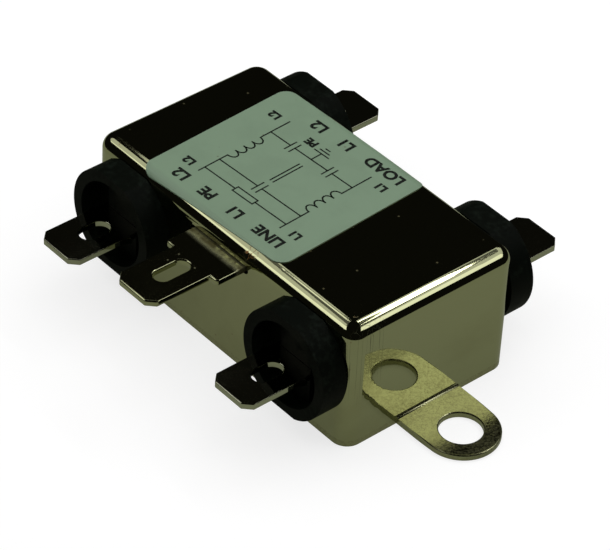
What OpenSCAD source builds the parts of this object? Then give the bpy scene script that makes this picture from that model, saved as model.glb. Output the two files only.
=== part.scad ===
// Compact single-phase line filter: a drawn steel can on a base plate with two
// mounting ears, four quick-connect blades in snap-in insulating bushings, a
// ground tab, and the filter network inside. Millimetres, +Z up. The origin is
// midway between the two mounting holes, on the mounting face. The supply side
// is -Y and the load side is +Y.

/* [Can] */
// Depth of the can along Y
can_w = 24; // [22:0.5:36]
// Height of the can and base plate together
can_h = 16.4; // [16:0.2:24]
// Sheet thickness of the can
wall_t = 0.5; // [0.4:0.05:0.8]
// Radius of the can's four upright corners
corner_r = 2; // [1.8:0.1:4]
// Outer radius of the drawn edge round the top
edge_r = 1.7; // [1:0.1:1.8]

/* [Base plate] */
// Sheet thickness of the base plate and its ears
base_t = 0.8; // [0.5:0.1:1.2]
// Width of each mounting ear
ear_w = 9; // [7:0.5:12]
// Diameter of each mounting hole
hole_d = 5; // [3:0.1:5.5]
// Distance from the can's end to the centre of its mounting hole
hole_reach = 5.5; // [4:0.25:9]
// Radius of the fillet where an ear leaves the can
ear_fillet = 0.35; // [0.2:0.05:0.6]

/* [Terminals] */
// Distance between the two blades of one side
blade_pitch = 30; // [28:0.5:40]
// Width of a blade
blade_w = 6.35; // [4.8:0.05:6.4]
// Thickness of a blade
blade_t = 0.8; // [0.5:0.1:0.9]
// Length of blade that stands out of its bushing
blade_out = 7.6; // [6:0.1:10]
// Height of the blades' upper faces over the mounting face
blade_top = 9.5; // [8.5:0.1:10]
// Length of the chamfers at a blade's tip
tip_cut = 1; // [0.5:0.1:1.5]
// Width of the slot in a blade
slot_w = 2.4; // [1.5:0.1:3]
// Length of the slot in a blade
slot_l = 3.9; // [3.2:0.1:4.5]
// Length of each blade's tail inside the can, past its bushing
tail_l = 2.6; // [2.2:0.1:3.2]
// Diameter of the wire eye in a tail
eye_d = 1.5; // [1.3:0.1:1.6]
// Metal round the wire eye
eye_wall = 0.7; // [0.5:0.05:0.8]

/* [Bushings] */
// Radius of the bushing's flange
flange_r = 6.6; // [6.2:0.1:7]
// Thickness of the flange
flange_t = 3.3; // [3:0.1:4]
// Half height of the flange between its two flats
flat_h = 6.2; // [5.6:0.1:6.2]
// Radius of the round recess in the flange's face
recess_r = 5.2; // [4.8:0.1:5.4]
// Depth of the recess, from the flange's face to the bridge at its middle
recess_d = 1.8; // [1:0.1:2]
// Depth of the two pockets beside the bridge, from the flange's face
pocket_d = 2.8; // [2.2:0.1:2.8]
// Width of the bridge between the pockets
bridge_w = 5; // [4:0.1:5.6]
// Radius of the neck in the can's wall
neck_r = 5; // [4.6:0.1:5.2]
// How far the snap collar stands out past the neck
collar_lip = 0.5; // [0.3:0.1:0.8]
// Thickness of the snap collar
collar_t = 1.2; // [0.8:0.1:1.6]

/* [Ground tab] */
// Height of the ground tab's upper face
ground_top = 14.2; // [13:0.1:14.2]
// Width of the wide root of the ground tab
root_w = 8.8; // [7.5:0.1:10]
// Length of the wide root outside the can
root_l = 3.9; // [2:0.1:5]
// Length of the narrow end outside the can
ground_l = 8.2; // [6:0.1:10]
// Length of the slot in the ground tab
ground_slot_l = 4.6; // [3:0.1:5]
// Width of the slot in the ground tab
ground_slot_w = 2.1; // [1.5:0.1:2.5]
// Distance from the ground tab's tip to its slot
ground_slot_in = 3.2; // [2:0.1:4]
// Height of the foot that is welded inside the wall
foot_h = 6.5; // [4:0.1:8]

/* [Label] */
// Length of the label along the can
label_l = 22.9; // [15:0.1:26]
// Distance from the label's long edges to the can's sides
label_edge = 0.8; // [0.75:0.05:4]
// Thickness of the label
label_t = 0.1; // [0.05:0.05:0.2]
// Place of the label's centre along X
label_x = -3.35; // [-6:0.05:6]
// Turn of the label on the can in degrees
label_turn = 2.9; // [-4:0.1:4]
// Radius of the label's corners
label_r = 1.6; // [0.5:0.1:3]

/* [Choke] */
// Outer diameter of the ferrite ring
core_od = 16; // [14:0.5:16.5]
// Inner diameter of the ferrite ring
core_id = 8.5; // [8:0.1:9]
// Height of the ferrite ring
core_h = 6.5; // [5:0.1:7]
// Diameter of the winding wire
wire_d = 0.95; // [0.7:0.05:1]
// Turns in each winding
turns = 8; // [5:1:8]
// Thickness of the pad under the choke
pad_t = 0.6; // [0.4:0.1:1]
// Thickness of the bar between the two windings
divider_t = 1; // [0.8:0.1:1.2]

/* [Capacitors and resistor] */
// Thickness of the box capacitor along X
x_cap_l = 5.6; // [4:0.1:6]
// Width of the box capacitor along Y
x_cap_w = 12; // [9:0.5:13]
// Height of the box capacitor
x_cap_h = 10; // [8:0.1:10.5]
// Diameter of each disc capacitor
y_cap_d = 7; // [5:0.1:8]
// Thickness of each disc capacitor
y_cap_t = 3; // [2:0.1:3.2]
// Diameter of the resistor's body
res_d = 2.3; // [1.8:0.1:2.5]
// Length of the resistor's body
res_l = 6.3; // [5:0.1:7]
// Diameter of the components' leads
lead_d = 0.6; // [0.5:0.05:0.7]
// Thickness of the insulating sheet on the base plate
liner_t = 0.3; // [0.2:0.05:0.5]

/* [Hidden] */
$fn = 64;

// Clearance of a piece in its hole or slot, on each side
fit = 0.05;
// Clearance between inner pieces that lie on each other
seat = 0.05;
// How far a cutting shape runs past the face it cuts
over = 1;
// Land between a bushing's flange and the can's end
end_land = 0.4;

can_l = blade_pitch + 2 * (flange_r + end_land);
half_l = can_l / 2;
half_w = can_w / 2;
inner_w = half_w - wall_t;
hole_x = half_l + hole_reach;
label_w = can_w - 2 * label_edge;

blade_z = blade_top - blade_t / 2;
bushing_z = blade_z + 0.2;
blade_tip = flange_t + blade_out;
// The snap collar is cut flat where the can's round edge and corner begin
collar_h = can_h - edge_r - bushing_z;
collar_w = half_l - blade_pitch / 2 - corner_r;
// Stop shoulders of a blade behind its bushing
stop_out = 0.8;
stop_l = 0.8;
shoulder_end = wall_t + collar_t + stop_l;
tail_end = wall_t + collar_t + tail_l;
tongue_w = eye_d + 2 * eye_wall;
eye_y = tail_end - tongue_w / 2;
// Barbs of a blade just inside its bushing's face
barb_in = 0.4;
barb_out = 0.5;
barb_l = 0.9;
// Distance from a bushing's face to the slot in its blade
slot_land = 0.2;
// Room over the ground tab in the can's slot, and radius of the tab's shoulders
slot_room = 0.3;
shoulder_r = 0.4;

liner_z = base_t + liner_t;
liner_gap = 0.4;
pad_z = liner_z + pad_t;
core_r = 0.8;
// Gap between ring and winding, between ring and divider leg, and the pitch of the turns
coat = 0.15;
leg_gap = 0.2;
turn_pitch = 1.06 * wire_d;
core_z = pad_z + wire_d + coat + seat;
core_top = core_z + core_h;

x_cap_x = blade_pitch / 2;
y_cap_gap = 0.5;
y_cap_x = -blade_pitch / 2;
y_cap_z = liner_z + seat + y_cap_d / 2;
y_disc_x = [y_cap_x + (y_cap_gap + y_cap_t) / 2, y_cap_x - (y_cap_gap + y_cap_t) / 2];

// Heights of the leads that cross over the choke and that meet the ground foot
run_drop = 2.5;
foot_drop = 2.9;
run_z = can_h - wall_t - run_drop;
foot_z = ground_top - foot_drop;
// How far a winding's end drops under its blade, and the reach of its bends
lead_drop = 2.6;
turn_bend = 1.2;
// Rise of a lead over its part, lap of a lead on a blade's tail, and on the ground foot
lead_rise = 1.5;
lead_lap = 0.7;
foot_lap = 2;
// Distance from the ends of the box capacitor to its leads
x_lead_in = 1.4;

// ---- plane outlines ----

module rounded_rect(l, w, r) {
    square([l - 2 * r, w], center = true);
    square([l, w - 2 * r], center = true);
    for (x = [-1, 1], y = [-1, 1])
        translate([x * (l / 2 - r), y * (w / 2 - r)]) circle(r);
}

// Slot with round ends, long side along Y
module round_slot(w, l) {
    square([w, l - w], center = true);
    for (y = [-1, 1]) translate([0, y * (l - w) / 2]) circle(d = w);
}

// Circle cut by two flats at +h and -h on its second axis
module double_d(r, h) {
    intersection() {
        circle(r);
        square([2 * r + over, 2 * h], center = true);
    }
}

// ---- drawn can ----

// Solid block with round upright corners and a round edge along the top
module drawn_block(l, w, z0, z1, rc, re) {
    translate([0, 0, z0]) linear_extrude(z1 - re - z0) rounded_rect(l, w, rc);
    translate([0, 0, z1 - re]) linear_extrude(re) rounded_rect(l - 2 * re, w - 2 * re, rc - re);
    for (y = [-1, 1])
        translate([0, y * (w / 2 - re), z1 - re]) rotate([0, 90, 0])
            cylinder(h = l - 2 * rc, r = re, center = true);
    for (x = [-1, 1])
        translate([x * (l / 2 - re), 0, z1 - re]) rotate([90, 0, 0])
            cylinder(h = w - 2 * rc, r = re, center = true);
    for (x = [-1, 1], y = [-1, 1])
        translate([x * (l / 2 - rc), y * (w / 2 - rc), z1 - re]) rotate_extrude() corner_profile(rc, re);
}

// Half section of an upright corner: a quarter circle outside a straight core
module corner_profile(rc, re) {
    intersection() {
        union() {
            translate([rc - re, 0]) circle(re);
            square([rc - re, re]);
        }
        square([rc, re]);
    }
}

// Outer form of the can, grown by g
module can_form(g = 0) {
    drawn_block(can_l + 2 * g, can_w + 2 * g, base_t, can_h + g, corner_r + g, edge_r + g);
}

// Runs its children at each bushing, with -Y pointing out of the can
module at_places() {
    for (sx = [-1, 1], sy = [-1, 1]) at_place(sx, sy) children();
}

module at_place(sx, sy) {
    mirror([0, sy > 0 ? 1 : 0, 0]) mirror([sx > 0 ? 0 : 1, 0, 0])
        translate([blade_pitch / 2, -half_w, 0]) children();
}

module can() {
    color("silver") difference() {
        can_form();
        drawn_block(can_l - 2 * wall_t, can_w - 2 * wall_t, base_t - over, can_h - wall_t,
            corner_r - wall_t, edge_r - wall_t);
        at_places()
            translate([0, wall_t + over, bushing_z]) rotate([90, 0, 0])
                linear_extrude(wall_t + 2 * over) circle(neck_r + fit);
        ground_slot();
    }
}

// Slot in the wall for the ground tab, with round ends and room over the tab
module ground_slot() {
    slot_h = blade_t + slot_room;
    translate([0, -inner_w + over, ground_top - blade_t - fit + slot_h / 2]) rotate([90, 0, 0])
        linear_extrude(wall_t + 2 * over) rotate(90) round_slot(slot_h, root_w + slot_h);
}

// ---- base plate with its two ears ----

module base_plate() {
    color("silver") {
        linear_extrude(base_t) difference() {
            union() {
                rounded_rect(can_l, can_w, corner_r);
                square([2 * hole_x, ear_w], center = true);
                for (x = [-1, 1]) translate([x * hole_x, 0]) circle(d = ear_w);
            }
            for (x = [-1, 1]) translate([x * hole_x, 0]) circle(d = hole_d);
        }
        for (s = [0, 1]) mirror([s, 0, 0]) ear_root();
    }
}

// Fillet between the ear's upper face and the can's end
module ear_root() {
    translate([half_l, ear_w / 2, base_t]) rotate([90, 0, 0]) linear_extrude(ear_w) difference() {
        square(ear_fillet);
        translate([ear_fillet, ear_fillet]) circle(ear_fillet);
    }
}

// ---- label ----

module label() {
    color("honeydew") intersection() {
        difference() {
            can_form(label_t);
            can_form();
        }
        translate([label_x, 0, can_h - edge_r]) rotate(label_turn)
            linear_extrude(edge_r + over) rounded_rect(label_l, label_w, label_r);
    }
}

// ---- bushings and blades, drawn with -Y pointing out of the can ----

module bushing() {
    color("dimgray") difference() {
        translate([0, 0, bushing_z]) rotate([90, 0, 0]) {
            difference() {
                linear_extrude(flange_t) double_d(flange_r, flat_h);
                translate([0, 0, flange_t - recess_d]) cylinder(h = recess_d + over, r = recess_r);
                translate([0, 0, flange_t - pocket_d]) linear_extrude(pocket_d - recess_d + over) pockets();
            }
            translate([0, 0, -wall_t]) cylinder(h = wall_t, r = neck_r);
            translate([0, 0, -wall_t - collar_t]) collar();
        }
        blade_hole();
    }
}

// Two pockets left and right of the bridge
module pockets() {
    difference() {
        circle(recess_r);
        square([bridge_w, 2 * recess_r + over], center = true);
    }
}

// Snap collar with a lead-in chamfer, flat where it meets the wall
module collar() {
    lead_in = collar_t / 2;
    intersection() {
        union() {
            cylinder(h = lead_in, r1 = neck_r - collar_lip / 2, r2 = neck_r + collar_lip);
            translate([0, 0, lead_in]) cylinder(h = collar_t - lead_in, r = neck_r + collar_lip);
        }
        cube([2 * collar_w, 2 * collar_h, 2 * collar_t], center = true);
    }
}

module blade_hole() {
    w = blade_w + 2 * fit;
    t = blade_t + 2 * fit;
    translate([-w / 2, -flange_t - over, blade_z - t / 2]) cube([w, flange_t + tail_end + over, t]);
}

// Blade with chamfered tip, slot, locking barbs, stop shoulders and wire eye
module terminal() {
    color("silver") translate([0, 0, blade_z - blade_t / 2]) linear_extrude(blade_t) difference() {
        union() {
            right = right_side();
            left = [for (i = [len(right) - 1 : -1 : 0]) [-right[i][0], right[i][1]]];
            polygon(concat(right, left));
            tongue();
        }
        translate([0, -blade_tip + blade_out - slot_l / 2 - slot_land]) round_slot(slot_w, slot_l);
        translate([0, eye_y]) circle(d = eye_d);
    }
}

// Right side of the blade from its tip: chamfer, a barb that is square towards
// the can and sloped outwards, and the shoulder that stops behind the bushing
function right_side() =
    let (edge = blade_w / 2, barb_y = barb_in - flange_t, stop_y = wall_t + collar_t)
    [[edge - tip_cut, -blade_tip], [edge, -blade_tip + tip_cut],
     [edge, barb_y - barb_l], [edge + barb_out, barb_y], [edge, barb_y],
     [edge, stop_y], [edge + stop_out, stop_y], [edge + stop_out, shoulder_end]];

// Narrow end of the blade inside the can, round about the wire eye
module tongue() {
    translate([-tongue_w / 2, wall_t]) square([tongue_w, eye_y - wall_t]);
    translate([0, eye_y]) circle(d = tongue_w);
}

// ---- ground tab: outer plate, then a foot bent down inside the wall ----

module ground_tab() {
    color("silver") {
        translate([0, 0, ground_top - blade_t]) linear_extrude(blade_t) ground_outline();
        translate([-root_w / 2, -inner_w, ground_top - blade_t]) rotate([0, 90, 0])
            linear_extrude(root_w) intersection() {
                circle(blade_t);
                translate([-blade_t, 0]) square(blade_t);
            }
        translate([-root_w / 2, -inner_w, ground_top - foot_h])
            cube([root_w, blade_t, foot_h - blade_t]);
    }
}

// Outer plate: a wide root with round shoulders and a narrow end with a slot
module ground_outline() {
    y_root = -half_w - root_l;
    y_tip = y_root - ground_l;
    edge = blade_w / 2;
    shoulder_x = root_w / 2 - shoulder_r;
    difference() {
        union() {
            polygon([[tip_cut - edge, y_tip], [edge - tip_cut, y_tip], [edge, y_tip + tip_cut],
                [edge, y_root + shoulder_r], [-edge, y_root + shoulder_r], [-edge, y_tip + tip_cut]]);
            translate([-root_w / 2, y_root + shoulder_r])
                square([root_w, -inner_w - y_root - shoulder_r]);
            translate([-shoulder_x, y_root]) square([2 * shoulder_x, root_l]);
            for (x = [-1, 1]) translate([x * shoulder_x, y_root + shoulder_r]) circle(shoulder_r);
        }
        translate([0, y_tip + ground_slot_in + ground_slot_l / 2])
            round_slot(ground_slot_w, ground_slot_l);
    }
}

// ---- choke ----

module base_liner() {
    color("lightyellow") translate([0, 0, base_t]) linear_extrude(liner_t)
        rounded_rect(can_l - 2 * (wall_t + liner_gap), can_w - 2 * (wall_t + liner_gap), corner_r - wall_t);
}

module choke_pad() {
    color("gray") translate([0, 0, liner_z]) cylinder(h = pad_t, d = core_od);
}

module choke_core() {
    color("darkgreen") rotate_extrude()
        translate([(core_od + core_id) / 4, core_z + core_h / 2])
            rounded_rect((core_od - core_id) / 2, core_h, core_r);
}

// Bar that keeps the two windings apart: a leg in the ring's bore under a bridge
module choke_divider() {
    leg = core_id - 2 * (coat + leg_gap);
    color("ivory") {
        translate([-divider_t / 2, -leg / 2, core_z]) cube([divider_t, leg, core_h + seat]);
        translate([-divider_t / 2, -core_od / 2, core_top + seat]) cube([divider_t, core_od, wire_d]);
    }
}

// Place on the wire's closed path round the ring's section, at turn angle t. The
// power makes the path square with round corners
function section_at(t, half_s, half_h, power = 0.45) = [
    half_s * sign(cos(t)) * pow(abs(cos(t)), power),
    half_h * sign(sin(t)) * pow(abs(sin(t)), power)];

// Centre line of the winding on the +X half, seen from the load side to the supply side
function coil_points(steps) =
    let (half_s = (core_od - core_id) / 4 + coat + wire_d / 2,
        half_h = core_h / 2 + coat + wire_d / 2,
        mid_r = (core_od + core_id) / 4,
        pitch = turn_pitch / (core_id / 2 - coat - wire_d / 2) * 180 / PI,
        span = pitch * turns)
    [for (i = [0 : steps * turns])
        let (t = 360 * i / steps,
            a = span / 2 - span * i / (steps * turns),
            s = section_at(t, half_s, half_h),
            r = mid_r + s[0])
        [r * cos(a), r * sin(a), core_z + core_h / 2 + s[1]]];

// Lead from the ring to the eye of the blade on the side sy
function coil_lead(sy) =
    let (ex = blade_pitch / 2, ey = sy * (half_w - eye_y), z = blade_z)
    [[ex - 2 * lead_rise, sy * (core_od - wire_d) / 2 - sy * turn_bend / 2, z - lead_drop],
     [ex - turn_bend, ey - sy * turn_bend / 3, z - lead_drop],
     [ex, ey, z - 2 * wire_d], [ex, ey, blade_top + wire_d / 3]];

function reversed(v) = [for (i = [len(v) - 1 : -1 : 0]) v[i]];

module winding() {
    path = concat(reversed(coil_lead(1)), coil_points(16), coil_lead(-1));
    color("peru") wire(path, wire_d);
}

// ---- round wire swept along a list of points ----

function unit(v) = v / norm(v);
function tangent(p, i) = unit(p[min(i + 1, len(p) - 1)] - p[max(i - 1, 0)]);

// Side direction at each point, carried along so that the tube doesn't twist
function carried(p, i = 0, last = [0.12, 0.97, 0.21]) =
    i == len(p) ? [] :
    let (t = tangent(p, i), n = unit(last - (last * t) * t))
    concat([n], carried(p, i + 1, n));

module wire(path, d, sides = 8) {
    n = len(path);
    side = carried(path);
    points = [for (i = [0 : n - 1], k = [0 : sides - 1])
        let (t = tangent(path, i), a = 360 * k / sides)
        path[i] + d / 2 * (cos(a) * side[i] + sin(a) * cross(t, side[i]))];
    walls = [for (i = [0 : n - 2], k = [0 : sides - 1])
        let (a = i * sides + k, b = i * sides + (k + 1) % sides)
        each [[a, a + sides, b], [b, a + sides, b + sides]]];
    first = [for (k = [0 : sides - 1]) k];
    last = [for (k = [sides - 1 : -1 : 0]) (n - 1) * sides + k];
    polyhedron(points, concat(walls, [first], [last]), convexity = 10);
}

// ---- capacitors and resistor ----

module x_capacitor() {
    r = 0.6;
    color("goldenrod") translate([x_cap_x, 0, liner_z]) linear_extrude(x_cap_h)
        rounded_rect(x_cap_l, x_cap_w, r);
}

module y_disc(x) {
    color("royalblue") translate([x, 0, y_cap_z]) rotate([0, 90, 0])
        cylinder(h = y_cap_t, d = y_cap_d, center = true);
}

module bleed_resistor() {
    r = res_d / 2;
    color("tan") translate([x_cap_x, 0, liner_z + x_cap_h + seat + r]) rotate([90, 0, 0])
        cylinder(h = res_l, r = r, center = true);
}

// Lead that comes down to a blade's tail and ends lying on it, beside the wire eye
function to_tail(sx, sy) =
    let (x = sx * blade_pitch / 2, z = blade_top + lead_d / 2 + seat)
    [[x, sy * (half_w - tail_end - lead_rise / 2), z + lead_rise / 2],
     [x, sy * (half_w - tail_end), z],
     [x, sy * (half_w - tail_end + lead_lap), z]];

// Lead that ends lying against the foot of the ground tab at height z
function to_foot(z) =
    let (x = -root_w / 2, y = -inner_w + blade_t + lead_d / 2 + seat)
    [[x - 2 * lead_d, y + lead_d, z], [x + lead_d / 2, y, z], [x + foot_lap, y, z]];

module x_capacitor_leads() {
    y = x_cap_w / 2 - x_lead_in;
    z = liner_z + x_cap_h;
    color("silver") {
        wire(concat([[x_cap_x, -y, z], [x_cap_x, -y, z + lead_rise / 2],
            [x_cap_x, -y - lead_d, z + lead_rise]], to_tail(1, -1)), lead_d);
        wire(concat([[x_cap_x, y, z], [x_cap_x, y, run_z - lead_rise / 2],
            [x_cap_x - lead_rise / 2, y, run_z], [x_cap_x - 3 * lead_rise, y, run_z],
            [y_cap_x + 3 * lead_rise, -y / 2, run_z]], to_tail(-1, -1)), lead_d);
    }
}

module bleed_resistor_leads() {
    y = x_cap_w / 2 - x_lead_in - lead_d - seat;
    z = liner_z + x_cap_h;
    axis_z = z + seat + res_d / 2;
    bend = lead_d * 2 / 3;
    color("silver") for (s = [-1, 1])
        wire([[x_cap_x, s * res_l / 2, axis_z], [x_cap_x, s * (y - bend), axis_z],
            [x_cap_x, s * y, axis_z - bend], [x_cap_x, s * y, z + seat]], lead_d);
}

// Foot of a disc capacitor's lead on its rim, on the side sy
function disc_lead(x, sy) =
    let (y = y_cap_d / 3, inner = y - lead_d / 2,
        z = y_cap_z + sqrt(pow(y_cap_d / 2, 2) - inner * inner))
    [[x, sy * y, z + seat], [x, sy * y, z + lead_rise * 2 / 3]];

module y_capacitor_1_leads() {
    x = y_disc_x[0];
    color("silver") {
        wire(concat(disc_lead(x, 1), to_tail(-1, 1)), lead_d);
        wire(concat(disc_lead(x, -1), [[x + foot_lap, -core_od / 2, foot_z]], to_foot(foot_z)), lead_d);
    }
}

module y_capacitor_2_leads() {
    x = y_disc_x[1];
    far_y = core_od / 2 - lead_rise / 2;
    z = foot_z + 2 * (lead_d + seat);
    color("silver") {
        wire(concat(disc_lead(x, 1), [[x + lead_d, far_y - 2 * lead_rise, run_z - lead_rise / 2],
            [y_cap_x + 3 * lead_rise, far_y, run_z], [x_cap_x - 3 * lead_rise, far_y, run_z]],
            to_tail(1, 1)), lead_d);
        wire(concat(disc_lead(x, -1), [[x + foot_lap, foot_lap - core_od / 2, z],
            [x + 4 * lead_rise, -core_od / 2, z]], to_foot(z)), lead_d);
    }
}

// ---- assembly ----

can();
base_plate();
label();
at_place(1, -1) bushing();  // bushing_line_1
at_place(-1, -1) bushing();  // bushing_line_2
at_place(1, 1) bushing();  // bushing_load_1
at_place(-1, 1) bushing();  // bushing_load_2
at_place(1, -1) terminal();  // terminal_line_1
at_place(-1, -1) terminal();  // terminal_line_2
at_place(1, 1) terminal();  // terminal_load_1
at_place(-1, 1) terminal();  // terminal_load_2
ground_tab();
base_liner();
choke_pad();
choke_core();
choke_divider();
winding();  // winding_1
rotate(180) winding();  // winding_2
x_capacitor();
x_capacitor_leads();
y_disc(y_disc_x[0]);  // y_capacitor_1
y_capacitor_1_leads();
y_disc(y_disc_x[1]);  // y_capacitor_2
y_capacitor_2_leads();
bleed_resistor();
bleed_resistor_leads();
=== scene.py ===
import math

import bmesh
import bpy
from bpy.props import FloatProperty, FloatVectorProperty, PointerProperty
from mathutils import Matrix, Vector


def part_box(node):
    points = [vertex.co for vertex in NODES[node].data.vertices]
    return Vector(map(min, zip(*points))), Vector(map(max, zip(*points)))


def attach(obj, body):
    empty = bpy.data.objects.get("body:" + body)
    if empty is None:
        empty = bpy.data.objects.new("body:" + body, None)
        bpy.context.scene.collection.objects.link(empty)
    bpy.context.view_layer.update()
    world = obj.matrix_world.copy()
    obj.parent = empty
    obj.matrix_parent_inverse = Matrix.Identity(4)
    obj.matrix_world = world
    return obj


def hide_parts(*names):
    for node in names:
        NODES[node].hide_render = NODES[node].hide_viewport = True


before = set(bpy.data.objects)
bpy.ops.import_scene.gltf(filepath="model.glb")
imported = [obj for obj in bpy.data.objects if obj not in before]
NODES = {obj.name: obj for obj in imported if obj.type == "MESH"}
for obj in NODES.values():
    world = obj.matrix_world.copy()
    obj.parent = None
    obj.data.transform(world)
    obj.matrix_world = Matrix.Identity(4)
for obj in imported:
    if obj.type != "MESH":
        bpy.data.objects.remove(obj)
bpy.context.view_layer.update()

bl_info = {
    "name": "Line filter",
    "version": (1, 0, 0),
    "blender": (4, 5, 0),
    "location": "View3D > Sidebar > Line filter",
    "description": "Finishes the packed line filter and sets it on a studio floor",
    "category": "Object",
}

MM = 0.001
MICRON = 0.000001
BUSHINGS = ("bushing_line_1", "bushing_line_2", "bushing_load_1", "bushing_load_2")
BLADES = ("terminal_line_1", "terminal_line_2", "terminal_load_1", "terminal_load_2")


# ---- settings a user would change ----

def colour(name, description, default):
    return FloatVectorProperty(
        name=name, description=description, default=default,
        subtype="COLOR", size=3, min=0.0, max=1.0)


def length(name, description, default):
    return FloatProperty(
        name=name, description=description, default=default,
        unit="LENGTH", min=0.0, precision=5)


def amount(name, description, default):
    return FloatProperty(
        name=name, description=description, default=default,
        subtype="FACTOR", min=0.0, max=1.0)


def brightness(name, description, default):
    return FloatProperty(name=name, description=description, default=default, min=0.0)


class LINEFILTER_PG_plating(bpy.types.PropertyGroup):
    """Bright plating of the can, the base plate and the ground tab"""
    nickel: colour("Nickel", "Colour of the clean plating", (0.42, 0.43, 0.25))
    tarnish: colour("Tarnish", "Colour where the plating has dulled", (0.30, 0.29, 0.155))
    rust: colour("Rust", "Colour of the marks where steel shows through", (0.24, 0.105, 0.02))
    # This colour paints the shade on the ears' darker tips, and colours real drawing lines on the
    # can.
    stain_and_shade: colour("Stain", "Colour of the dark marks on ears and can", (0.03, 0.032, 0.018))
    # A painted reflection of the can's wall in the ground tab, laid on as a dull band at its root
    wall_reflection: colour(
        "Reflection", "Colour of the dull band at the ground tab's root", (0.075, 0.066, 0.022))
    polish: amount("Roughness", "Roughness of the drawn can", 0.04)
    ear_matt: amount("Ear roughness", "Roughness of the handled mounting ears", 0.1)
    tab_matt: amount("Tab roughness", "Roughness of the ground tab", 0.05)
    edge: length("Edge rounding", "Radius left on the stamped edges", 0.00018)


class LINEFILTER_PG_blades(bpy.types.PropertyGroup):
    """Quick-connect blades"""
    tin: colour("Tin", "Colour of the blades' plating", (0.44, 0.45, 0.32))
    polish: amount("Roughness", "Roughness of the blades' faces", 0.05)
    edge: length("Edge rounding", "Radius left on the stamped edges", 0.00011)


class LINEFILTER_PG_plastic(bpy.types.PropertyGroup):
    """Moulded insulating bushings"""
    black: colour("Plastic", "Colour of the moulded plastic", (0.0022, 0.0032, 0.0020))
    scuff: colour("Scuffs", "Colour of dusty and scuffed patches", (0.0065, 0.0095, 0.0065))
    matt: amount("Roughness", "Roughness of the moulded faces", 0.5)
    edge: length("Edge rounding", "Radius of the moulded edges", 0.00014)


class LINEFILTER_PG_label(bpy.types.PropertyGroup):
    """Film label on the can"""
    film: colour("Film", "Colour of the label film", (0.215, 0.312, 0.208))
    speck: colour("Specks", "Colour of the specks on the film", (0.09, 0.06, 0.03))
    ink: colour("Ink", "Colour of the printing", (0.006, 0.008, 0.006))
    stroke: length("Line width", "Width of the printed lines", 0.00018)
    satin: amount("Roughness", "Roughness of the film", 0.38)


class LINEFILTER_PG_studio(bpy.types.PropertyGroup):
    """Floor, lamps and camera"""
    floor: colour("Floor", "Colour of the studio floor", (0.62, 0.65, 0.51))
    floor_reach: length("Floor reach", "Radius of the round floor", 0.1)
    lamp_height: length("Lamp height", "Height of the soft boxes over the floor", 0.3)
    panel: brightness("Soft boxes", "Brightness of the front of the two soft boxes", 1.4)
    core: brightness("Right core", "Brightness of the right soft box's core", 6.0)
    core_left: brightness("Left core", "Brightness of the left soft box's core", 1.2)
    fill: brightness("Fill", "Brightness of the fill lamp for matt surfaces", 1.1)


class LINEFILTER_PG_inside(bpy.types.PropertyGroup):
    """Choke, capacitors, resistor and insulation inside the can"""
    copper: colour("Copper", "Colour of the enamelled wire", (0.55, 0.20, 0.06))
    ring: colour("Ring", "Colour of the coating on the ferrite ring", (0.02, 0.10, 0.06))
    nylon: colour("Divider", "Colour of the nylon divider", (0.68, 0.66, 0.56))
    foam: colour("Pad", "Colour of the foam pad under the choke", (0.09, 0.09, 0.10))
    liner: colour("Liner", "Colour of the insulating film on the base", (0.50, 0.30, 0.07))
    case: colour("Case", "Colour of the film capacitor's case", (0.55, 0.42, 0.05))
    disc: colour("Disc", "Colour of the disc capacitors' dip", (0.02, 0.11, 0.30))
    body: colour("Resistor", "Colour of the resistor's body", (0.50, 0.36, 0.20))
    tinned: colour("Leads", "Colour of the tinned leads", (0.62, 0.61, 0.58))


class LINEFILTER_PG_settings(bpy.types.PropertyGroup):
    """All settings of the line filter"""
    plating: PointerProperty(type=LINEFILTER_PG_plating)
    blades: PointerProperty(type=LINEFILTER_PG_blades)
    plastic: PointerProperty(type=LINEFILTER_PG_plastic)
    label: PointerProperty(type=LINEFILTER_PG_label)
    inside: PointerProperty(type=LINEFILTER_PG_inside)
    studio: PointerProperty(type=LINEFILTER_PG_studio)


# ---- node trees ----

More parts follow.
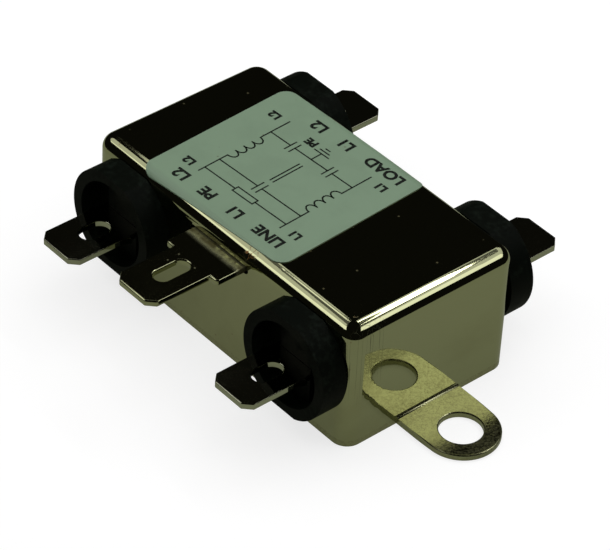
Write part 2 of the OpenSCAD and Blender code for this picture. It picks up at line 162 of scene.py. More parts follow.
class Tree:
    """Adds nodes to one tree and joins them by socket name."""

    def __init__(self, tree):
        self.tree = tree
        tree.nodes.clear()

    def add(self, kind, ins=None, **settings):
        node = self.tree.nodes.new(kind)
        for name, value in settings.items():
            setattr(node, name, value)
        for name, value in (ins or {}).items():
            if isinstance(value, bpy.types.NodeSocket):
                self.tree.links.new(value, node.inputs[name])
            else:
                node.inputs[name].default_value = value
        return node

    def math(self, operation, a, b=0.0, c=0.0):
        return self.add("ShaderNodeMath", {0: a, 1: b, 2: c}, operation=operation).outputs[0]

    def product(self, first, *others):
        """All the values multiplied."""
        for other in others:
            first = self.math("MULTIPLY", first, other)
        return first

    def ramp(self, value, low, high):
        """0 below low, 1 above high, smooth between."""
        node = self.add("ShaderNodeMapRange", {
            "Value": value, "From Min": low, "From Max": high}, interpolation_type="SMOOTHSTEP")
        return node.outputs["Result"]

    def fall(self, value, low, high):
        """1 below low, 0 above high, smooth between."""
        return self.math("SUBTRACT", 1.0, self.ramp(value, low, high))

    def blend(self, factor, a, b):
        """Colour a where the factor is 0, colour b where it is 1."""
        node = self.add("ShaderNodeMix", {0: factor}, data_type="RGBA")
        # the node's sockets 6, 7 and 2 are the two colours and their mix
        for socket, value in ((6, a), (7, b)):
            if isinstance(value, bpy.types.NodeSocket):
                self.tree.links.new(value, node.inputs[socket])
            else:
                node.inputs[socket].default_value = (*tuple(value)[:3], 1.0)
        return node.outputs[2]

    def mapped(self, vector, scale):
        """A stretched vector: the smaller its scale, the longer the pattern."""
        return self.add("ShaderNodeMapping", {"Vector": vector, "Scale": scale}).outputs[0]

    def noise(self, vector, scale, detail=3.0, rough=0.55, distortion=0.0):
        """Clouds around 0.5: the larger their scale, the smaller they are."""
        return self.add("ShaderNodeTexNoise", {
            "Vector": vector, "Scale": scale, "Detail": detail,
            "Roughness": rough, "Distortion": distortion}).outputs["Fac"]

    def place(self):
        """The place on the object, in metres."""
        return self.add("ShaderNodeTexCoord").outputs["Object"]

    def parts(self, vector):
        """The X, Y and Z sockets of a vector."""
        return self.add("ShaderNodeSeparateXYZ", {"Vector": vector}).outputs

    def near(self, place, centre, reach):
        """1 close to a point, 0 beyond its reach."""
        gap = self.add("ShaderNodeVectorMath", {0: place, 1: centre}, operation="DISTANCE")
        return self.fall(gap.outputs["Value"], reach * 0.5, reach)

    def thread(self, vector, scale, width, distortion=0.0):
        """Thin wandering lines."""
        level = self.noise(vector, scale, 2, 0.5, distortion)
        off = self.math("ABSOLUTE", self.math("SUBTRACT", level, 0.5))
        return self.fall(off, width * 0.3, width)


def group(name, ins, outs, build):
    """A shader node group with named sockets, made once."""
    made = bpy.data.node_groups.get(name)
    if made:
        return made
    made = bpy.data.node_groups.new(name, "ShaderNodeTree")
    for label, kind, value in ins:
        socket = made.interface.new_socket(label, in_out="INPUT", socket_type=kind)
        if value is not None:
            socket.default_value = value
    for label, kind in outs:
        made.interface.new_socket(label, in_out="OUTPUT", socket_type=kind)
    tree = Tree(made)
    start = tree.add("NodeGroupInput")
    end = tree.add("NodeGroupOutput")
    for label, socket in build(tree, start.outputs).items():
        made.links.new(socket, end.inputs[label])
    return made


FLOAT = "NodeSocketFloat"
VECTOR = "NodeSocketVector"


def handling_marks():
    """Smears, wipes and fine hairline scratches left by hands and packing."""
    def build(tree, given):
        place = given["Vector"]
        smear = tree.noise(tree.mapped(place, (1, 0.45, 0.7)), given["Smear Scale"], 4, 0.6, 0.4)
        dull = tree.ramp(smear, 0.45, 0.72)
        hair = tree.add("ShaderNodeTexVoronoi", {
            "Vector": tree.mapped(place, (1.0, 0.06, 0.3)), "Scale": given["Scratch Scale"]},
            feature="DISTANCE_TO_EDGE").outputs["Distance"]
        patch = tree.ramp(tree.noise(place, 260.0, 2), 0.55, 0.68)
        return {"Smear": dull, "Scratch": tree.product(tree.fall(hair, 0.0, 0.03), patch)}
    return group("Handling marks", (
        ("Vector", VECTOR, None), ("Smear Scale", FLOAT, 120.0), ("Scratch Scale", FLOAT, 420.0)),
        (("Smear", FLOAT), ("Scratch", FLOAT)), build)


def fine_dust():
    """Sparse small specks."""
    def build(tree, given):
        cell = tree.add("ShaderNodeTexVoronoi", {
            "Vector": given["Vector"], "Scale": given["Scale"]}).outputs
        draw = tree.add("ShaderNodeSeparateColor", {"Color": cell["Color"]}).outputs[0]
        chosen = tree.math("GREATER_THAN", draw, given["Rarity"])
        return {"Speck": tree.product(tree.fall(cell["Distance"], 0.03, given["Size"]), chosen)}
    return group("Fine dust", (
        ("Vector", VECTOR, None), ("Scale", FLOAT, 700.0), ("Size", FLOAT, 0.12),
        ("Rarity", FLOAT, 0.8)), (("Speck", FLOAT),), build)


def cloud_and_grain():
    """A soft cloud over the surface and a fine grain in it."""
    def build(tree, given):
        place = given["Vector"]
        return {"Cloud": tree.ramp(tree.noise(place, given["Cloud Scale"], 3), 0.42, 0.66),
                "Grain": tree.noise(place, given["Grain Scale"], 3, 0.6)}
    return group("Cloud and grain", (
        ("Vector", VECTOR, None), ("Cloud Scale", FLOAT, 250.0), ("Grain Scale", FLOAT, 2500.0)),
        (("Cloud", FLOAT), ("Grain", FLOAT)), build)


def material(name):
    """An empty material, its tree, its Principled shader and Object coordinates."""
    made = bpy.data.materials.new(name)
    made.use_nodes = True
    tree = Tree(made.node_tree)
    skin = tree.add("ShaderNodeBsdfPrincipled")
    end = tree.add("ShaderNodeOutputMaterial", {"Surface": skin.outputs[0]})
    end.is_active_output = True
    return made, tree, skin, tree.place()


def feed(tree, skin, **inputs):
    """Joins or sets the shader's sockets. Heights are pairs of a height and its
    depth in metres, each a bump on the one before."""
    names = {"base": "Base Color", "metal": "Metallic", "rough": "Roughness", "ior": "IOR",
             "coat": "Coat Weight", "coat_rough": "Coat Roughness"}
    for key, value in inputs.items():
        if key == "heights":
            normal = None
            for height, depth in value:
                ins = {"Height": height, "Distance": depth, "Strength": 1.0}
                if normal:
                    ins["Normal"] = normal
                normal = tree.add("ShaderNodeBump", ins).outputs[0]
            tree.tree.links.new(normal, skin.inputs["Normal"])
        elif isinstance(value, bpy.types.NodeSocket):
            tree.tree.links.new(value, skin.inputs[names[key]])
        elif key == "base":
            skin.inputs["Base Color"].default_value = (*tuple(value)[:3], 1.0)
        else:
            skin.inputs[names[key]].default_value = value


def plated(name, look, rough, stains_and_painted_light=(), relief=(), specks=0.45):
    """Bright plating with slow waves, smears, specks and hairline scratches.
    Each coloured mark is a colour, its dullness and a function that makes its
    mask; some are real marks, others painted shade and painted reflection.
    Each relief is a depth and a function that makes its height. The specks'
    number is how strongly they show. Specks and coloured marks are rougher and
    less metallic than the rest."""
    made, tree, skin, place = material(name)
    marks = tree.add("ShaderNodeGroup", {"Vector": place}, node_tree=handling_marks())
    dust = tree.add("ShaderNodeGroup", {"Vector": place}, node_tree=fine_dust())
    smear = marks.outputs["Smear"]
    speck = dust.outputs["Speck"]
    base = tree.blend(tree.product(smear, 0.35), look.nickel, look.tarnish)
    base = tree.blend(tree.product(speck, specks), base, look.rust)
    spread = tree.math("MULTIPLY_ADD", smear, rough * 0.5, rough)
    spread = tree.math("MULTIPLY_ADD", speck, 0.06, spread)
    metal = tree.math("MULTIPLY_ADD", speck, -0.25, 1.0)
    # some of these masks paint shade and reflection rather than real marks
    for tone, dull, mask_of in stains_and_painted_light:
        mask = mask_of(tree, place)
        base = tree.blend(mask, base, tone)
        spread = tree.math("MULTIPLY_ADD", mask, dull, spread)
        metal = tree.math("MULTIPLY_ADD", mask, -2 * dull, metal)
    slow = tree.noise(place, 90.0, 2, 0.4)
    fine = tree.noise(place, 2500.0, 3, 0.6)
    feed(tree, skin, base=base, metal=metal, rough=spread,
         heights=((slow, 40 * MICRON), (fine, 0.6 * MICRON),
                  (marks.outputs["Scratch"], 1.5 * MICRON),
                  *((height_of(tree, place), depth) for depth, height_of in relief)))
    return made


def toned(name, base, other, rough, depth=4 * MICRON, cloud=250.0, grain=2500.0, **sockets):
    """A surface that drifts between two tones, with a fine grain in its gloss
    and its height. Cloud and grain are the scales of the two patterns."""
    made, tree, skin, place = material(name)
    marks = tree.add("ShaderNodeGroup", {
        "Vector": place, "Cloud Scale": cloud, "Grain Scale": grain},
        node_tree=cloud_and_grain())
    feed(tree, skin, base=tree.blend(marks.outputs["Cloud"], base, other),
         rough=tree.math("MULTIPLY_ADD", marks.outputs["Grain"], 0.12, rough),
         heights=((marks.outputs["Grain"], depth),), **sockets)
    return made


def faded(tone, share):
    """A colour at a share of its strength."""
    return [part * share for part in tone]


def dress(names, made):
    """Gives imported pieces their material."""
    for name in names:
        NODES[name].data.materials.clear()
        NODES[name].data.materials.append(made)


# ---- can and base plate ----

# Points closer than this are merged, faces flatter than FLAT are joined, and
# edges sharper than SHARP are rounded
SAME_POINT = 0.1 * MICRON
FLAT = math.radians(0.4)
SHARP = math.radians(35.0)


def finished_copy(name, node, made, width, segments=3, rim=None):
    """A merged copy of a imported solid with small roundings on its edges. It
    stands in for the solid. A rim is a larger radius and a function that says
    which of the sharp edges get it."""
    shape = bmesh.new()
    shape.from_mesh(NODES[node].data)
    bmesh.ops.remove_doubles(shape, verts=shape.verts, dist=SAME_POINT)
    bmesh.ops.dissolve_limit(
        shape, angle_limit=FLAT, use_dissolve_boundaries=False,
        verts=shape.verts, edges=shape.edges)
    if rim:
        radius, chosen = rim
        sharp = [edge for edge in shape.edges
                 if edge.calc_face_angle(0.0) > SHARP and chosen(edge)]
        bmesh.ops.bevel(shape, geom=sharp, offset=radius, offset_type="OFFSET", segments=5,
                        profile=0.5, affect="EDGES", material=-1, clamp_overlap=False)
    for face in shape.faces:
        face.smooth = True
    mesh = bpy.data.meshes.new(name)
    shape.to_mesh(mesh)
    shape.free()
    piece = bpy.data.objects.new(name, mesh)
    bpy.context.collection.objects.link(piece)
    mesh.materials.append(made)
    round_edges = piece.modifiers.new("Edges", "BEVEL")
    round_edges.width = width
    round_edges.segments = segments
    round_edges.limit_method = "ANGLE"
    round_edges.angle_limit = SHARP
    round_edges.use_clamp_overlap = True
    even = piece.modifiers.new("Normals", "WEIGHTED_NORMAL")
    even.keep_sharp = False
    even.weight = 60
    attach(piece, "root")
    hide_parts(node)
    return piece


class LINEFILTER_OT_can(bpy.types.Operator):
    """Finishes the drawn can in bright plating"""
    bl_idname = "line_filter.can"
    bl_label = "Can"

    def execute(self, context):
        look = context.scene.line_filter.plating
        low, high = (Vector(corner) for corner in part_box("can"))
        corner = Vector((high.x - 2.5 * MM, low.y + 2.5 * MM, high.z))
        scrape = Vector((4.6 * MM, low.y + 0.6 * MM, high.z - 0.5 * MM))

        def rust(tree, place):
            """Thin marks at the top's front right corner and on its front edge."""
            at_corner = tree.product(tree.near(place, corner, 0.5 * MM),
                                     tree.thread(place, 1500.0, 0.06))
            squiggle = tree.product(tree.near(place, scrape, 1.1 * MM),
                                    tree.thread(place, 1300.0, 0.035, 0.6))
            return tree.math("MAXIMUM", at_corner, squiggle)

        def drawn(tree, place):
            """Upright drawing lines on the right wall, near its front top."""
            x, y, z = tree.parts(place)
            lines = tree.thread(tree.mapped(place, (1, 1, 0.015)), 1400.0, 0.02)
            wall = tree.product(tree.ramp(x, high.x - 1.2 * MM, high.x - 0.4 * MM),
                                tree.fall(y, -9 * MM, -6 * MM), tree.ramp(z, 5 * MM, 11 * MM))
            return tree.product(lines, wall, 0.6)

        def rippled(tree, place):
            """Shallow waves low on the right wall, near its front."""
            x, y, z = tree.parts(place)
            wall = tree.product(tree.ramp(x, high.x - 0.6 * MM, high.x - 0.2 * MM),
                                tree.fall(y, -9.5 * MM, -4.5 * MM), tree.fall(z, 7 * MM, 10 * MM))
            return tree.product(wall, tree.noise(place, 420.0, 2, 0.5))

        dress(["can"], plated(
            "can plating", look, look.polish, relief=((60 * MICRON, rippled),),
            stains_and_painted_light=((look.rust, 0.3, rust), (look.stain_and_shade, 0.1, drawn))))
        return {"FINISHED"}


class LINEFILTER_OT_base_plate(bpy.types.Operator):
    """Finishes the base plate and its ears"""
    bl_idname = "line_filter.base_plate"
    bl_label = "Base plate"

    def execute(self, context):
        look = context.scene.line_filter.plating
        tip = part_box("base_plate")[1][0]
        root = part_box("can")[1][0]

        def outward(tree, place, start):
            """0 up to this share of an ear's length, rising to 1 past its tip."""
            side = tree.math("ABSOLUTE", tree.parts(place)[0])
            return tree.ramp(side, root + start * (tip - root), tip * 1.06)

        def tip_shade(tree, place):
            """Painted shade: dark patches that grow toward the tips, where the ears look darker.
            """
            patch = tree.noise(place, 2200.0, 4, 0.7)
            level = tree.math("MULTIPLY_ADD", patch, 0.9, outward(tree, place, 0.58))
            return tree.product(tree.ramp(level, 0.8, 1.5), 0.4)

        def fingered(tree, place):
            """Fine grime in larger clouds, as fingers leave it."""
            grime = tree.product(tree.noise(place, 1600.0, 4, 0.7), tree.noise(place, 300.0, 3))
            return tree.product(tree.ramp(grime, 0.2, 0.4), 0.5)

        def frosted(tree, place):
            """A fine speckle all over."""
            return tree.product(tree.ramp(tree.noise(place, 4600.0, 2, 0.6), 0.4, 0.65), 0.6)

        def bent(tree, place):
            """A bump height that rises toward the ears' tips, as if they curled up; the mesh
            stays flat.
            """
            return tree.math("POWER", outward(tree, place, 0.33), 1.6)

        def grained(tree, place):
            return tree.noise(place, 2600.0, 3, 0.7)

        def on_ear(edge):
            """Whether an edge of the plate lies clear of the can."""
            return all(abs(point.co.x) > root + 0.6 * MM for point in edge.verts)

        made = plated(
            "base plate plating", look, look.ear_matt,
            relief=((900 * MICRON, bent), (20 * MICRON, grained)),
            stains_and_painted_light=((look.tarnish, 0.1, fingered), (look.tarnish, 0.1, frosted),
                    # the last mark is painted shade, darkening the ears toward their tips
                    (look.stain_and_shade, 0.1, tip_shade)))
        piece = finished_copy(
            "plate_with_ears", "base_plate", made, look.edge / 4, 2, (look.edge, on_ear))
        return {"FINISHED"}


# ---- label ----
# Marks, lines and windings are placed in millimetres from LABEL_MIDDLE, before
# the print is turned. It reads from the back of the filter, a little askew.

INK_RISE = 0.01 * MM
LABEL_MIDDLE = Vector((-3.35 * MM, 0.0, 0.0))
LABEL_TURN = math.radians(182.9)

# The font's size for capitals 1 high and how much its strokes are thickened,
# then each mark's words, its middle and about how high its capitals are
TYPE_SIZE = 1.3
TYPE_WEIGHT = 0.085
MARKS = (
    ("LINE    L1    PE    L2", -0.3, 8.7, 1.6),
    ("LOAD    L1    L2", -2.4, -9.0, 1.6),
    ("L1", -8.6, 6.4, 1.15), ("L2", 8.6, 6.4, 1.15),
    ("L1", -8.6, -6.6, 1.15), ("L2", 8.6, -6.6, 1.15),
    ("PE", 2.2, -6.3, 1.15))

# The circuit's straight lines, each from one end to the other
WIRE = 6.6
LINES = (
    # the two wires, before and behind the choke
    ((-WIRE, 6.8), (-WIRE, 2.5)), ((WIRE, 6.8), (WIRE, 2.5)),
    ((-WIRE, -2.5), (-WIRE, -7.0)), ((WIRE, -2.5), (WIRE, -7.0)),
    # the resistor
    ((-WIRE, 5.9), (-1.6, 5.9)), ((1.6, 5.9), (WIRE, 5.9)),
    ((-1.6, 5.45), (1.6, 5.45)), ((-1.6, 6.35), (1.6, 6.35)),
    ((-1.6, 5.45), (-1.6, 6.35)), ((1.6, 5.45), (1.6, 6.35)),
    # the capacitor between the wires
    ((-WIRE, 3.7), (-0.35, 3.7)), ((0.35, 3.7), (WIRE, 3.7)),
    ((-0.35, 2.8), (-0.35, 4.6)), ((0.35, 2.8), (0.35, 4.6)),
    # the choke's core
    ((-0.25, 1.9), (-0.25, -2.5)), ((0.25, 1.9), (0.25, -2.5)),
    # the capacitor from each wire to earth
    ((-WIRE, -4.1), (-3.35, -4.1)), ((-2.65, -4.1), (2.65, -4.1)), ((3.35, -4.1), (WIRE, -4.1)),
    ((-3.35, -5.0), (-3.35, -3.2)), ((-2.65, -5.0), (-2.65, -3.2)),
    ((3.35, -5.0), (3.35, -3.2)), ((2.65, -5.0), (2.65, -3.2)),
    # the sign for earth
    ((0.0, -4.1), (0.0, -5.7)), ((-1.1, -5.7), (1.1, -5.7)),
    ((-0.7, -6.2), (0.7, -6.2)), ((-0.3, -6.7), (0.3, -6.7)))

# The choke's windings: where each wire runs and the side its turns bulge to
WINDINGS = ((-WIRE, 1.0), (WIRE, -1.0))
TURNS = 4
TURN_PITCH = 1.25
TURN_BULGE = 0.9
TURN_STEPS = 8


class LINEFILTER_OT_label(bpy.types.Operator):
    """Finishes the film label and prints its terminal marks and circuit"""
    bl_idname = "line_filter.label"
    bl_label = "Label"

    def execute(self, context):
        look = context.scene.line_filter.label
        made, tree, skin, place = material("label film")
        dust = tree.add("ShaderNodeGroup", {"Vector": place}, node_tree=fine_dust())
        marks = tree.add("ShaderNodeGroup", {"Vector": place}, node_tree=cloud_and_grain())
        tone = tree.blend(marks.outputs["Cloud"], look.film, faded(look.film, 0.95))
        tone = tree.blend(tree.product(dust.outputs["Speck"], 0.6), tone, look.speck)
        feed(tree, skin, base=tone,
             rough=tree.math("MULTIPLY_ADD", marks.outputs["Grain"], 0.1, look.satin),
             heights=((marks.outputs["Grain"], 4 * MICRON),))
        film = finished_copy("film_label", "label", made, 20 * MICRON, 2)
        # the film's top makes room for the ink, which ends at the label's top
        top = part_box("label")[1][2]
        for point in film.data.vertices:
            if point.co.z > top - INK_RISE / 2:
                point.co.z -= INK_RISE

        ink = toned("label ink", look.ink, faded(look.ink, 1.6), 0.22,
                    depth=0.5 * MICRON, cloud=900.0, grain=5000.0)
        print_label(look.stroke / MM, top, ink)
        return {"FINISHED"}


def print_label(width, top, ink):
    """Terminal marks and a filter's circuit, as thin ink on the film. The
    width of the lines is in millimetres, the film's top in metres."""
    shape = bmesh.new()
    for start, end in LINES:
        stroke(shape, start, end, width)
    angles = [math.pi * step / TURN_STEPS for step in range(TURN_STEPS + 1)]
    for x, side in WINDINGS:
        for turn in range(TURNS):
            y = (turn - (TURNS - 1) / 2) * TURN_PITCH
            points = [(x + side * TURN_BULGE * math.sin(angle),
                       y - TURN_PITCH / 2 * math.cos(angle)) for angle in angles]
            for start, end in zip(points, points[1:]):
                stroke(shape, start, end, width)
    for words, x, y, height in MARKS:
        solid = lettering(words, height)
        solid.transform(Matrix.Translation((x, y, 0)))
        shape.from_mesh(solid)
        bpy.data.meshes.remove(solid)
    bmesh.ops.scale(shape, vec=(MM, MM, MM), verts=shape.verts)
    place = Matrix.Translation(LABEL_MIDDLE + Vector((0, 0, top - INK_RISE / 2)))
    place = place @ Matrix.Rotation(LABEL_TURN, 4, "Z")
    bmesh.ops.transform(shape, matrix=place, verts=shape.verts)
    mesh = bpy.data.meshes.new("label_print")
    shape.to_mesh(mesh)
    shape.free()
    mesh.materials.append(ink)
    piece = bpy.data.objects.new("label_print", mesh)
    bpy.context.collection.objects.link(piece)
    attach(piece, "root")


def stroke(shape, start, end, width):
    """A thin bar of ink from one point to the next, in millimetres."""
    run = Vector(end) - Vector(start)
    turn = Matrix.Rotation(math.atan2(run.y, run.x), 4, "Z")
    size = Matrix.Diagonal((run.length + width, width, INK_RISE / MM, 1.0))
    middle = (Vector(start) + Vector(end)) / 2
    place = Matrix.Translation((*middle, 0.0))
    bmesh.ops.create_cube(shape, size=1.0, matrix=place @ turn @ size)


def lettering(words, height):
    """The mesh of one mark, its middle at the origin, in millimetres."""
    curve = bpy.data.curves.new("mark", "FONT")
    curve.body = words
    curve.size = height * TYPE_SIZE
    curve.offset = TYPE_WEIGHT
    curve.align_x = "CENTER"
    curve.align_y = "CENTER"
    curve.extrude = INK_RISE / MM / 2
    item = bpy.data.objects.new("mark", curve)
    bpy.context.collection.objects.link(item)
    evaluated = item.evaluated_get(bpy.context.evaluated_depsgraph_get())
    mesh = bpy.data.meshes.new_from_object(evaluated)
    bpy.data.objects.remove(item)
    bpy.data.curves.remove(curve)
    return mesh


# ---- terminals ----

class LINEFILTER_OT_bushings(bpy.types.Operator):
    """Finishes the four moulded bushings"""
    bl_idname = "line_filter.bushings"
    bl_label = "Bushings"

    def execute(self, context):
        look = context.scene.line_filter.plastic
        made, tree, skin, place = material("black plastic")
        marks = tree.add("ShaderNodeGroup", {
            "Vector": place, "Cloud Scale": 380.0, "Grain Scale": 4000.0},
            node_tree=cloud_and_grain())
        cloud = marks.outputs["Cloud"]
        scuffed = tree.product(cloud, tree.ramp(tree.noise(place, 1500.0, 4), 0.4, 0.7))
        feed(tree, skin, base=tree.blend(scuffed, look.black, look.scuff), ior=1.13,
             rough=tree.math("MULTIPLY_ADD", cloud, 0.1, look.matt),
             heights=((marks.outputs["Grain"], 6 * MICRON), (cloud, 10 * MICRON)))
        for node in BUSHINGS:
            finished_copy("moulded_" + node, node, made, look.edge)
        return {"FINISHED"}


class LINEFILTER_OT_blades(bpy.types.Operator):
    """Finishes the four quick-connect blades"""
    bl_idname = "line_filter.blades"
    bl_label = "Blades"

    def execute(self, context):
        look = context.scene.line_filter.blades
        made, tree, skin, place = material("tinned blade")
        marks = tree.add("ShaderNodeGroup", {"Vector": place}, node_tree=handling_marks())
        rolled = tree.noise(tree.mapped(place, (1, 0.08, 1)), 3000.0, 2)
        smear = marks.outputs["Smear"]
        base = tree.blend(tree.product(smear, 0.5), look.tin, faded(look.tin, 0.7))
        feed(tree, skin, base=base, metal=1.0,
             rough=tree.math("MULTIPLY_ADD", smear, 0.04, look.polish),
             heights=((rolled, 0.8 * MICRON), (marks.outputs["Scratch"], 1.2 * MICRON)))
        for node in BLADES:
            name = "blade_" + node.removeprefix("terminal_")
            finished_copy(name, node, made, look.edge)
        return {"FINISHED"}


class LINEFILTER_OT_ground_tab(bpy.types.Operator):
    """Finishes the ground tab"""
    bl_idname = "line_filter.ground_tab"
    bl_label = "Ground tab"

    def execute(self, context):
        look = context.scene.line_filter.plating
        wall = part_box("can")[0][1]

        def reflected_band(tree, place):
            """Painted reflection of the olive wall in the tab: an uneven dull band where the tab
            leaves the can.
            """
            band = tree.ramp(tree.parts(place)[1], wall - 1.5 * MM, wall - 0.5 * MM)
            return tree.product(band, tree.ramp(tree.noise(place, 500.0, 4, 0.7), 0.25, 0.6))

        made = plated("ground tab plating", look, look.tab_matt,
                      # the band at the root is a painted reflection of the can's wall
                      stains_and_painted_light=((look.wall_reflection, 0.3, reflected_band),), specks=0.1)
        finished_copy("ground_blade", "ground_tab", made, look.edge)
        return {"FINISHED"}


# ---- parts inside the can ----

# The resistor's rings: how far along its body each sits, its colour, and where
# it fades out to both sides, as shares of the body's length
RINGS = ((0.2, (0.10, 0.035, 0.01)), (0.36, (0.01, 0.01, 0.01)), (0.52, (0.02, 0.14, 0.03)),
         (0.78, (0.38, 0.26, 0.06)))
RING_FADE = (0.035, 0.045)


class LINEFILTER_OT_choke(bpy.types.Operator):
    """Finishes the choke: its pad, coated ring, divider and windings"""
    bl_idname = "line_filter.choke"
    bl_label = "Choke"

    def execute(self, context):
        look = context.scene.line_filter.inside
        dress(["choke_pad"], toned(
            "foam pad", look.foam, faded(look.foam, 0.6), 0.85,
            depth=80 * MICRON, cloud=400.0, grain=1600.0))
        dress(["choke_core"], toned(
            "ring coating", look.ring, faded(look.ring, 0.7), 0.3, depth=10 * MICRON, coat=0.3))
        dress(["choke_divider"], toned(
            "nylon divider", look.nylon, faded(look.nylon, 0.85), 0.45))
        dress(["winding_1", "winding_2"], toned(
            "enamelled wire", look.copper, faded(look.copper, 0.7), 0.22,
            depth=2 * MICRON, cloud=600.0, metal=1.0, coat=0.6, coat_rough=0.12))
        return {"FINISHED"}


class LINEFILTER_OT_capacitors(bpy.types.Operator):
    """Finishes the capacitors, the bleed resistor and their leads"""
    bl_idname = "line_filter.capacitors"
    bl_label = "Capacitors and resistor"

    def execute(self, context):
        look = context.scene.line_filter.inside
        dress(["x_capacitor"], toned(
            "capacitor case", look.case, faded(look.case, 0.85), 0.4, depth=6 * MICRON))
        dress(["y_capacitor_1", "y_capacitor_2"], toned(
            "disc dip", look.disc, faded(look.disc, 0.75), 0.25,
            depth=10 * MICRON, cloud=700.0, grain=1800.0, coat=0.5))
        dress([name for name in NODES if name.endswith("_leads")], toned(
            "tinned lead", look.tinned, faded(look.tinned, 0.7), 0.3,
            depth=2 * MICRON, metal=1.0))
        dress(["bleed_resistor"], self.banded(look))
        return {"FINISHED"}

    def banded(self, look):
        """The resistor's lacquer, with its rings of colour."""
        low, high = (Vector(corner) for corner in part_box("bleed_resistor"))
        sides = high - low
        axis = max(range(3), key=lambda side: sides[side])
        made, tree, skin, place = material("resistor lacquer")
        along = tree.math("SUBTRACT", tree.parts(place)[axis], low[axis])
        along = tree.math("DIVIDE", along, sides[axis])
        base = tree.blend(tree.noise(place, 900.0), look.body, faded(look.body, 0.85))
        for where, tone in RINGS:
            off = tree.math("ABSOLUTE", tree.math("SUBTRACT", along, where))
            base = tree.blend(tree.fall(off, *RING_FADE), base, tone)
        feed(tree, skin, base=base, rough=0.35, coat=0.3,
             heights=((tree.noise(place, 2500.0), 4 * MICRON),))
        return made


class LINEFILTER_OT_liner(bpy.types.Operator):
    """Finishes the insulating film on the base plate"""
    bl_idname = "line_filter.liner"
    bl_label = "Liner"

    def execute(self, context):
        look = context.scene.line_filter.inside
        dress(["base_liner"], toned(
            "liner film", look.liner, faded(look.liner, 0.85), 0.3, depth=3 * MICRON))
        return {"FINISHED"}


# ---- studio ----

# The camera: turned from the front to the right, lifted, rolled, and its
# distance from the point it looks at, in metres
VIEW_TURN = math.radians(47.33)
VIEW_LIFT = math.radians(39.71)
VIEW_ROLL = math.radians(3.49)
VIEW_REACH = 0.37767
VIEW_TARGET = Vector((0.0056, -0.00421, 0.010))
LENS = 202.8
SENSOR = 36.0
TOWARD = Vector((math.sin(VIEW_TURN), -math.cos(VIEW_TURN), 0.0))
ACROSS = Vector((math.cos(VIEW_TURN), math.sin(VIEW_TURN), 0.0))

# The floor: its shade and its own light for the camera, then its own light
# for mirroring surfaces and how much of it they get
CHALK = (0.32, 0.32, 0.32, 1.0)
CHALK_GLOW = 0.76
PAPER_GLOW = 0.37
PAPER_SHARE = 0.8

# The world: what lights the surfaces, and what the camera sees
DIM = (0.0062, 0.0060, 0.0048, 1.0)
WHITE = (1.0, 1.0, 1.0, 1.0)

# The soft boxes, in lamp heights. A dark wedge opens toward the camera, from
# an apex behind the object, with WEDGE as half its angle. Each side runs along
# one edge of the wedge and reaches out from it. Its hand is 1 to the right and
# -1 to the left. Then come how far out its dim middle, its back and its front
# reach, and from where to where its core lies, along the edge and out from it.
APEX = -1.05
WEDGE = math.radians(31.0)
SIDES = (
    {"name": "right", "hand": 1.0, "middle": 0.135, "back": 0.8, "front": 0.8,
     "core_along": (0.38, 0.96), "core_out": (0.002, 0.080)},
    {"name": "left", "hand": -1.0, "middle": 0.07, "back": 0.17, "front": 0.66,
     "core_along": (0.38, 0.58), "core_out": (-0.06, 0.0)})
CORE_LEAN = math.radians(6.5)
CORE_DROP = 5 * MM

# The fill lamp, in lamp heights, and the watts of a square metre of any lamp
# at brightness 1
FILL_SIZE = 2.0
FILL_HEIGHT = 1.4
LAMP_WATTS = 3.95


class LINEFILTER_OT_studio(bpy.types.Operator):
    """Sets up the floor, the lamps, the backdrop and the camera"""
    bl_idname = "line_filter.studio"
    bl_label = "Studio"

    def execute(self, context):
        look = context.scene.line_filter.studio
        set_floor(look)
        set_world()
        set_lamps(look)
        set_camera()
        return {"FINISHED"}


def set_floor(look):
    """A round floor: white to the camera, glowing paper in what mirrors it and
    plain matt paper for the rest."""
    shape = bmesh.new()
    bmesh.ops.create_circle(shape, cap_ends=True, segments=96, radius=look.floor_reach)
    mesh = bpy.data.meshes.new("floor")
    shape.to_mesh(mesh)
    shape.free()
    floor = bpy.data.objects.new("floor", mesh)
    bpy.context.collection.objects.link(floor)
    made = bpy.data.materials.new("studio floor")
    made.use_nodes = True
    tree = Tree(made.node_tree)
    tone = (*look.floor, 1.0)
    matt = tree.add("ShaderNodeBsdfDiffuse", {"Color": tone})
    paper = tree.add("ShaderNodeEmission", {"Color": tone, "Strength": PAPER_GLOW})
    chalk = tree.add("ShaderNodeBsdfDiffuse", {"Color": CHALK})
    glow = tree.add("ShaderNodeEmission", {"Strength": CHALK_GLOW})
    white = tree.add("ShaderNodeAddShader", {0: chalk.outputs[0], 1: glow.outputs[0]})
    light = tree.add("ShaderNodeLightPath").outputs
    mirrored = tree.math("MAXIMUM", light["Is Glossy Ray"], light["Is Transmission Ray"])
    mix = tree.add("ShaderNodeMixShader", {
        0: tree.product(mirrored, PAPER_SHARE), 1: matt.outputs[0], 2: paper.outputs[0]})
    mix = tree.add("ShaderNodeMixShader", {
        0: light["Is Camera Ray"], 1: mix.outputs[0], 2: white.outputs[0]})
    tree.add("ShaderNodeOutputMaterial", {"Surface": mix.outputs[0]})
    mesh.materials.append(made)


def set_world():
    """Nearly dark for the surfaces, white for the camera."""
    world = bpy.data.worlds.new("studio")
    bpy.context.scene.world = world
    world.use_nodes = True
    tree = Tree(world.node_tree)
    dim = tree.add("ShaderNodeBackground", {"Color": DIM, "Strength": 1.0})
    white = tree.add("ShaderNodeBackground", {"Color": WHITE, "Strength": 1.0})
    seen = tree.add("ShaderNodeLightPath").outputs["Is Camera Ray"]
    mix = tree.add("ShaderNodeMixShader", {0: seen, 1: dim.outputs[0], 2: white.outputs[0]})
    tree.add("ShaderNodeOutputWorld", {"Surface": mix.outputs[0]})


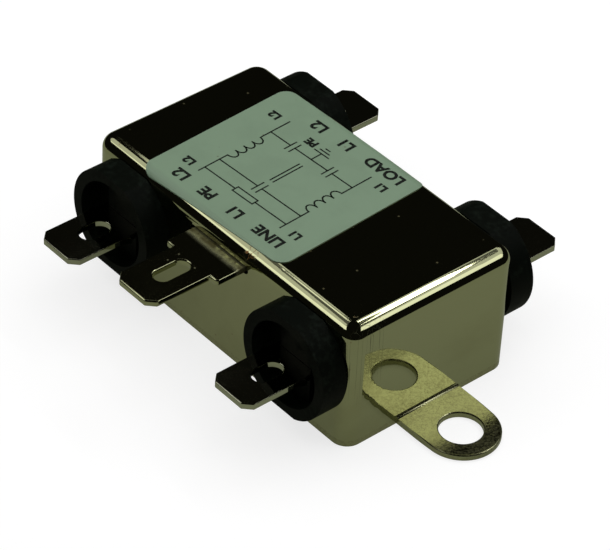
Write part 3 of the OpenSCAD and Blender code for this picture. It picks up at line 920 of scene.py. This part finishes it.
def set_lamps(look):
    """Two soft boxes overhead, left and right of the camera, with a dark wedge
    between them, and a fill lamp that only matt surfaces show."""
    for side, core in zip(SIDES, (look.core, look.core_left)):
        set_side(look, side, core)
    fill = bpy.data.lights.new("fill", "AREA")
    fill.size = FILL_SIZE * look.lamp_height
    fill.energy = look.fill * fill.size ** 2 * LAMP_WATTS
    lamp = hang(fill, Vector((0, 0, FILL_HEIGHT * look.lamp_height)), Matrix())
    lamp.visible_glossy = False


def set_side(look, side, core):
    """Hangs one side's rectangles, each from where to where it lies along the
    edge of the wedge and out from it. Behind the bright front the rest is half
    as bright, but for a dim middle by the edge and the core under it."""
    half = look.panel * 0.5
    for part, glow, along, out in (
            ("soft box front ", look.panel, (1.24, 1.85), (0.02, side["front"])),
            ("soft box middle ", half, (0.75, 1.24), (side["middle"], 0.8)),
            ("soft box back ", half, (0.15, 0.75), (side["middle"], side["back"])),
            ("frame ", half, (0.15, 0.32), (-0.05, side["middle"])),
            ("dim middle ", look.panel * 0.08, (0.32, 1.24), (-0.05, side["middle"]))):
        hang_rectangle(look, side, part, glow, along, out)
    hang_rectangle(look, side, "core ", core, side["core_along"], side["core_out"],
                   CORE_DROP, CORE_LEAN)


def hang_rectangle(look, side, part, glow, along, out, drop=0.0, lean=0.0):
    """Hangs one lamp in the plan of its side, lowered and turned if asked."""
    height, hand = look.lamp_height, side["hand"]
    (start, end), (near, far) = along, out
    lamp = bpy.data.lights.new(part + side["name"], "AREA")
    lamp.shape = "RECTANGLE"
    lamp.size, lamp.size_y = (end - start) * height, (far - near) * height
    lamp.energy = glow * lamp.size * lamp.size_y * LAMP_WATTS
    edge = TOWARD * math.cos(WEDGE) + ACROSS * hand * math.sin(WEDGE)
    outward = Vector((0, 0, hand)).cross(edge)
    apex = TOWARD * APEX * height
    middle = apex + edge * (start + end) / 2 * height + outward * (near + far) / 2 * height
    turn = Matrix((edge, outward * hand, Vector((0, 0, 1)))).transposed().to_4x4()
    hang(lamp, middle + Vector((0, 0, height - drop)),
         turn @ Matrix.Rotation(lean * hand, 4, "Z"))


def hang(lamp, place, turn):
    """Places a lamp that the camera doesn't see."""
    item = bpy.data.objects.new(lamp.name, lamp)
    item.matrix_world = Matrix.Translation(place) @ turn
    bpy.context.collection.objects.link(item)
    item.visible_camera = False
    return item


def set_camera():
    """The camera, and plain colours for its picture."""
    data = bpy.data.cameras.new("camera")
    data.lens = LENS
    data.sensor_width = SENSOR
    camera = bpy.data.objects.new("camera", data)
    bpy.context.collection.objects.link(camera)
    back = Vector((math.sin(VIEW_TURN) * math.cos(VIEW_LIFT),
                   -math.cos(VIEW_TURN) * math.cos(VIEW_LIFT), math.sin(VIEW_LIFT)))
    up = back.cross(ACROSS)
    side = ACROSS * math.cos(VIEW_ROLL) + up * math.sin(VIEW_ROLL)
    head = up * math.cos(VIEW_ROLL) - ACROSS * math.sin(VIEW_ROLL)
    turn = Matrix((side, head, back)).transposed().to_4x4()
    camera.matrix_world = Matrix.Translation(VIEW_TARGET + back * VIEW_REACH) @ turn
    data.clip_start, data.clip_end = 0.01, 10.0
    bpy.context.scene.camera = camera
    bpy.context.scene.view_settings.view_transform = "Standard"


# ---- panel and registration ----

class LINEFILTER_PT_panel(bpy.types.Panel):
    """Lists the pieces of the line filter"""
    bl_idname = "LINEFILTER_PT_panel"
    bl_label = "Line filter"
    bl_space_type = "VIEW_3D"
    bl_region_type = "UI"
    bl_category = "Line filter"

    def draw(self, context):
        settings = context.scene.line_filter
        for name in ("plating", "blades", "plastic", "label", "inside", "studio"):
            box = self.layout.box()
            box.label(text=name.capitalize())
            part = getattr(settings, name)
            for key in part.bl_rna.properties.keys():
                if key not in ("rna_type", "name"):
                    box.prop(part, key)
        for step in STEPS:
            self.layout.operator(step.bl_idname)


GROUPS = (LINEFILTER_PG_plating, LINEFILTER_PG_blades, LINEFILTER_PG_plastic,
          LINEFILTER_PG_label, LINEFILTER_PG_inside, LINEFILTER_PG_studio,
          LINEFILTER_PG_settings)
STEPS = (LINEFILTER_OT_studio, LINEFILTER_OT_can, LINEFILTER_OT_base_plate,
         LINEFILTER_OT_label, LINEFILTER_OT_bushings, LINEFILTER_OT_blades,
         LINEFILTER_OT_ground_tab, LINEFILTER_OT_choke, LINEFILTER_OT_capacitors,
         LINEFILTER_OT_liner)


def register():
    for item in (*GROUPS, *STEPS, LINEFILTER_PT_panel):
        bpy.utils.register_class(item)
    bpy.types.Scene.line_filter = PointerProperty(type=LINEFILTER_PG_settings)


def unregister():
    del bpy.types.Scene.line_filter
    for item in reversed((*GROUPS, *STEPS, LINEFILTER_PT_panel)):
        bpy.utils.unregister_class(item)


def main():
    register()
    bpy.ops.line_filter.studio()
    bpy.ops.line_filter.can()
    bpy.ops.line_filter.base_plate()
    bpy.ops.line_filter.label()
    bpy.ops.line_filter.bushings()
    bpy.ops.line_filter.blades()
    bpy.ops.line_filter.ground_tab()
    bpy.ops.line_filter.choke()
    bpy.ops.line_filter.capacitors()
    bpy.ops.line_filter.liner()


if __name__ == "__main__":
    main()
